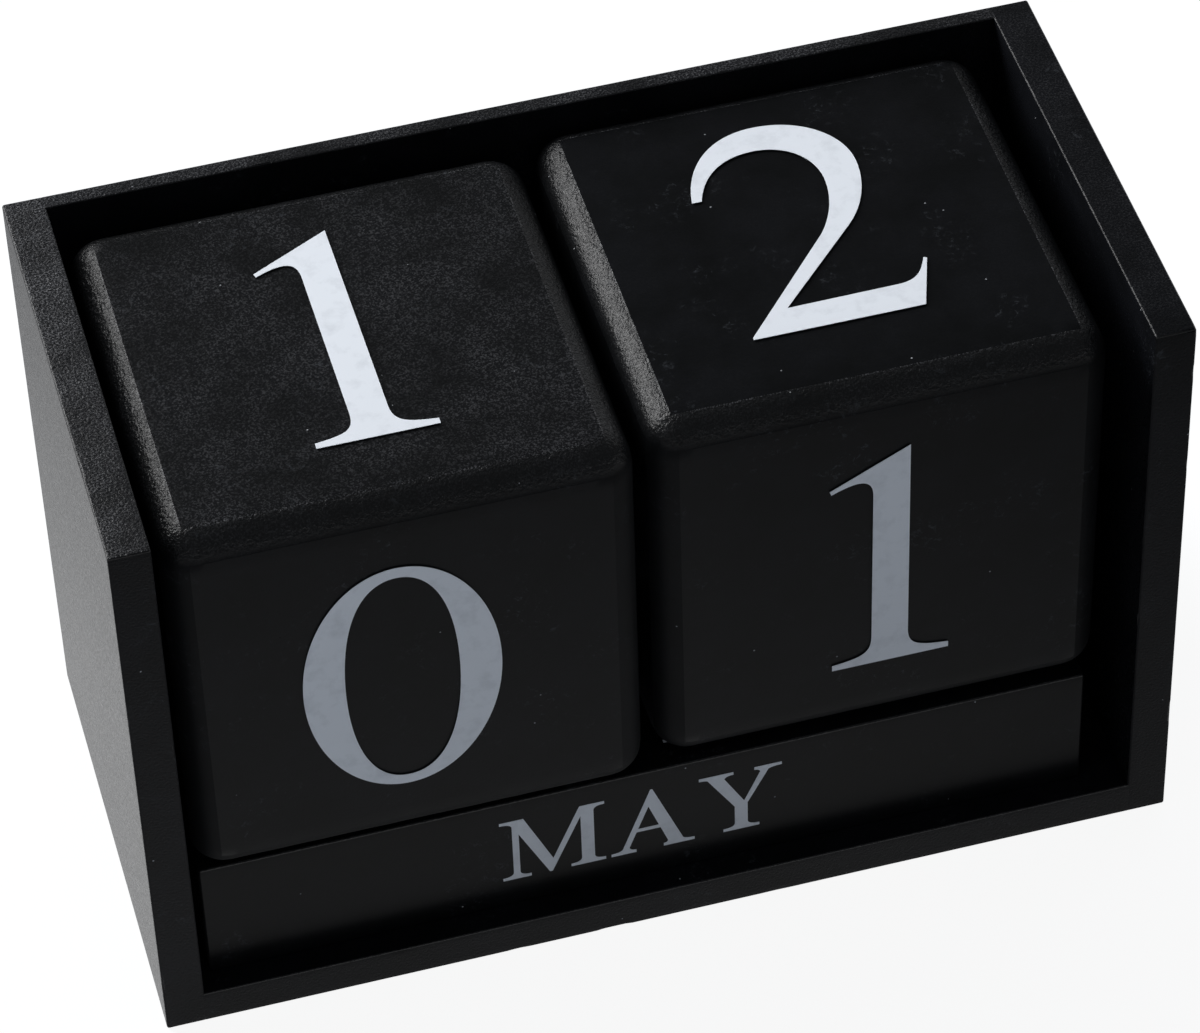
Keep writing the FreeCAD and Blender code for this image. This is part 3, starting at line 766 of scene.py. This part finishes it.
@dataclass
class Studio:
    """A white table, a soft strip lamp behind the left and a pale wall behind the right.

    The camera stands where the photograph's own camera was found to stand. The pool is a painted
    pool of light, a brighter patch that the table gives off near the object to gloss alone, in
    place of the lamps' light on the table. The backdrop's top and side are how high and how far
    round behind the object gloss still sees the backdrop, as parts of a unit direction.
    """

    table_size: float = 6.0
    table_colour: str = "#b6bbc2"
    table_white: float = 1.14
    table_white_share: float = 0.8
    painted_pool_centre: tuple[float, float, float] = (-0.03, -0.01, 0.0)
    painted_pool_reach: tuple[float, float] = (0.05, 0.14)
    painted_pool_white: tuple[float, float] = (1.3, 0.55)
    lens_mm: float = 164.71
    place_mm: tuple[float, float, float] = (-101.47, -411.52, 464.63)
    azimuth_deg: float = -13.863
    elevation_deg: float = 45.318
    roll_deg: float = -2.12
    sensor_mm: float = 36.0
    clip: tuple[float, float] = (0.01, 20.0)
    room_colour: str = "#eef2f8"
    room_light: float = 0.3
    room_gloss: float = 0.12
    backdrop_top: tuple[float, float] = (0.02, 0.14)
    backdrop_side: float = 0.4
    lamps: tuple[SoftLamp, ...] = (
        SoftLamp("strip_lamp", stands=(-0.6, 0.7, 0.4), long_side=(0.7, 0.0, 0.5),
                 size=(0.85, 0.45), distance=0.9, watts=15.9, gloss_share=0.46),
        SoftLamp("pale_wall", stands=(0.55, 0.75, 0.27), long_side=(1.0, 0.0, 0.0),
                 size=(1.1, 0.6), distance=1.0, watts=2.9, gloss_share=0.2),
    )

    def build(self) -> None:
        """Makes the table, the lights and the camera."""
        self._table()
        self._room()
        for lamp in self.lamps:
            lamp.build()
        self._camera()

    def _table(self) -> None:
        """A plain white table top that takes the object's shadow and reads as white paper."""
        half = self.table_size / 2
        mesh = bpy.data.meshes.new("table")
        mesh.from_pydata([(-half, -half, 0), (half, -half, 0), (half, half, 0), (-half, half, 0)],
                         [], [(0, 1, 2, 3)])
        table = bpy.data.objects.new("table", mesh)
        bpy.context.scene.collection.objects.link(table)
        made = bpy.data.materials.new("white_table")
        made.use_nodes = True
        n = Nodes(made.node_tree)
        path = n.add("ShaderNodeLightPath", out=None).outputs
        glossy, clear = path["Is Glossy Ray"], path["Is Transmission Ray"]
        matt = n.add("ShaderNodeBsdfDiffuse", {"Color": linear(self.table_colour)})

        # A painted pool of light on the table, brighter near the object and seen by gloss alone,
        # which the satin paint reflects
        place = n.add("ShaderNodeTexCoord", out="Object")
        off = n.add("ShaderNodeVectorMath", {0: place, 1: self.painted_pool_centre},
                    out="Value", operation="DISTANCE")
        pool = n.add("ShaderNodeMapRange", {
            "Value": off, "From Min": self.painted_pool_reach[0], "From Max": self.painted_pool_reach[1],
            "To Min": self.painted_pool_white[0], "To Max": self.painted_pool_white[1]})
        strength = n.add("ShaderNodeMix", {
            0: glossy, NUMBER_A: self.table_white, NUMBER_B: pool}, data_type="FLOAT")
        white = n.add("ShaderNodeEmission", {"Color": PURE_WHITE, "Strength": strength})
        seen = n.add("ShaderNodeMath", {0: path["Is Camera Ray"], 1: glossy}, operation="MAXIMUM")
        seen_clear = n.add("ShaderNodeMath", {0: seen, 1: clear}, operation="MAXIMUM")
        share = n.add("ShaderNodeMath", {
            0: seen_clear, 1: self.table_white_share}, operation="MULTIPLY")
        mixed = n.add("ShaderNodeMixShader", {0: share, 1: matt, 2: white})
        n.add("ShaderNodeOutputMaterial", {"Surface": mixed})
        made.cycles.emission_sampling = "NONE"
        mesh.materials.append(made)

    def _room(self) -> None:
        """A dim, even room whose backdrop is white to the eye, to glass and to gloss behind."""
        world = bpy.data.worlds.new("room")
        bpy.context.scene.world = world
        world.use_nodes = True
        n = Nodes(world.node_tree)
        path = n.add("ShaderNodeLightPath", out=None).outputs

        # Gloss sees the backdrop low down behind the object, and the unlit room elsewhere
        direction = n.add("ShaderNodeTexCoord", out="Generated")
        way = n.add("ShaderNodeSeparateXYZ", {0: direction}, out=None).outputs
        low = n.add("ShaderNodeMapRange", {
            "Value": way["Z"], "From Min": self.backdrop_top[0],
            "From Max": self.backdrop_top[1], "To Min": 1.0, "To Max": 0.0})
        behind = n.add("ShaderNodeMapRange", {
            "Value": way["Y"], "From Max": self.backdrop_side})
        backdrop = n.add("ShaderNodeMath", {0: low, 1: behind}, operation="MULTIPLY")
        gloss = n.add("ShaderNodeMapRange", {"Value": backdrop, "To Min": self.room_gloss})
        strength = n.add("ShaderNodeMix", {
            0: path["Is Glossy Ray"], NUMBER_A: self.room_light, NUMBER_B: gloss},
            data_type="FLOAT")
        room = n.add("ShaderNodeBackground", {
            "Color": linear(self.room_colour), "Strength": strength})
        white = n.add("ShaderNodeBackground", {"Color": PURE_WHITE, "Strength": 1.0})
        seen = n.add("ShaderNodeMath", {
            0: path["Is Camera Ray"], 1: path["Is Transmission Ray"]}, operation="MAXIMUM")
        mixed = n.add("ShaderNodeMixShader", {0: seen, 1: room, 2: white})
        n.add("ShaderNodeOutputWorld", {"Surface": mixed})

    def _camera(self) -> None:
        """The camera, where the photograph's own camera stood."""
        data = bpy.data.cameras.new("camera")
        data.sensor_width = self.sensor_mm
        data.lens = self.lens_mm
        data.clip_start, data.clip_end = self.clip
        camera = bpy.data.objects.new("camera", data)
        azimuth, elevation = math.radians(self.azimuth_deg), math.radians(self.elevation_deg)
        back = Vector((math.sin(azimuth) * math.cos(elevation),
                       -math.cos(azimuth) * math.cos(elevation), math.sin(elevation)))
        right = (-back).cross(Vector((0, 0, 1))).normalized()
        up = right.cross(-back)
        turn = Matrix.Rotation(math.radians(self.roll_deg), 3, back)
        axes = Matrix((turn @ right, turn @ up, back)).transposed().to_4x4()
        camera.matrix_world = Matrix.Translation(Vector(self.place_mm) * MM) @ axes
        bpy.context.scene.collection.objects.link(camera)
        bpy.context.scene.camera = camera


def main() -> None:
    """Builds the calendar and its studio in order."""
    logging.basicConfig(level=logging.INFO, format="%(message)s")
    bpy.context.scene.view_settings.view_transform = "Standard"
    paint = {
        "tray_paint": SatinPaintOnFibreboard(
            "satin_paint_on_tray", colour="#0b0c0e", worn_colour="#101114",
            face_grain_height_mm=0.04, gloss_spread=0.27, speckle_mm=0.22).material(),
        "cube_paint": SatinPaintOnFibreboard(
            "satin_paint_on_cubes", colour="#0d0e0f", worn_colour="#111214", crease_wear_and_highlight=0.9,
            crest_dryness_and_glint=0.13).material(),
        "bar_paint": SatinPaintOnFibreboard("satin_paint_on_bars").material(),
    }
    ink = ScreenPrintInk().material()
    joinery = Joinery(BlockTree(), paint)
    Tray().build(joinery)
    for cube in (NumberCube("left_cube", Body.LEFT_CUBE, "012345", Closed.OPEN_TOPPED_CUBE),
                 NumberCube("right_cube", Body.RIGHT_CUBE, "012678", Closed.CLOSED_TOPPED_CUBE)):
        cube.build(joinery, ink)
    for bar in (MonthBar("front_month_bar", Body.FRONT_BAR, ("may", "jun", "jul", "aug")),
                MonthBar("middle_month_bar", Body.MIDDLE_BAR, ("jan", "feb", "mar", "apr")),
                MonthBar("rear_month_bar", Body.REAR_BAR, ("sep", "oct", "nov", "dec"))):
        bar.build(joinery, ink)
    Studio().build()


if __name__ == "__main__":
    main()
